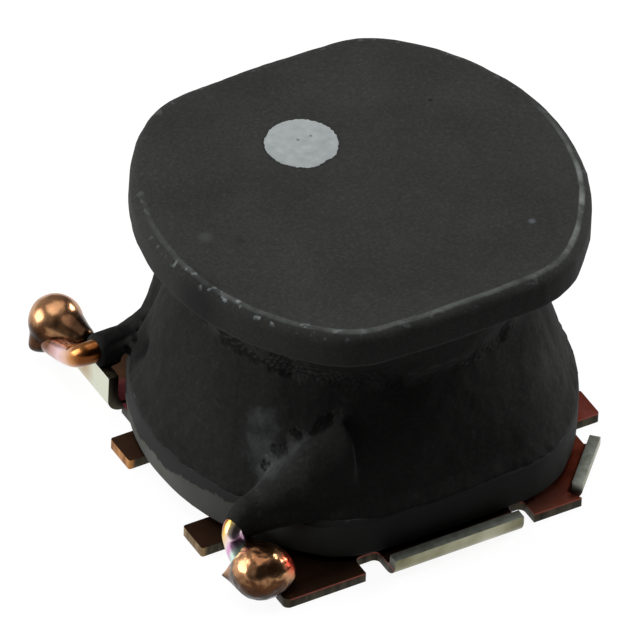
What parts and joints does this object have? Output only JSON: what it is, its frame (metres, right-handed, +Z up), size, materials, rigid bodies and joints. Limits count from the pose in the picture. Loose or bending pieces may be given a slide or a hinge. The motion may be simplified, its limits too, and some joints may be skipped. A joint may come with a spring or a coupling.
{
  "type": "shielded smd inductor",
  "caption": "Surface-mount power inductor with a ferrite drum core, magnetic resin coat and bent sheet metal terminals that carry welded lead ends.",
  "frame": {"origin": "on the board plane under the drum's axis", "axes": "+Z up along the drum's axis, +Y towards the start terminal, +X away from the weld arms"},
  "size_m": [0.0083, 0.0086, 0.0055],
  "materials": {
    "ferrite": "ground sintered ferrite",
    "enamelled_wire": "copper wire with enamel",
    "magnetic_resin": "cured resin with ferrite powder",
    "tinned_copper": "tin plated copper sheet",
    "weld_metal": "melted tin and copper",
    "adhesive": "cured epoxy",
    "white_ink": "printed ink"
  },
  "bodies": {
    "root": {"drum_core": "ferrite", "winding": "enamelled_wire", "resin_coat": "magnetic_resin", "terminal_start": "tinned_copper", "terminal_finish": "tinned_copper", "weld_start": "weld_metal", "weld_finish": "weld_metal", "adhesive_start": "adhesive", "adhesive_finish": "adhesive", "polarity_dot": "white_ink"}
  },
  "joints": []
}
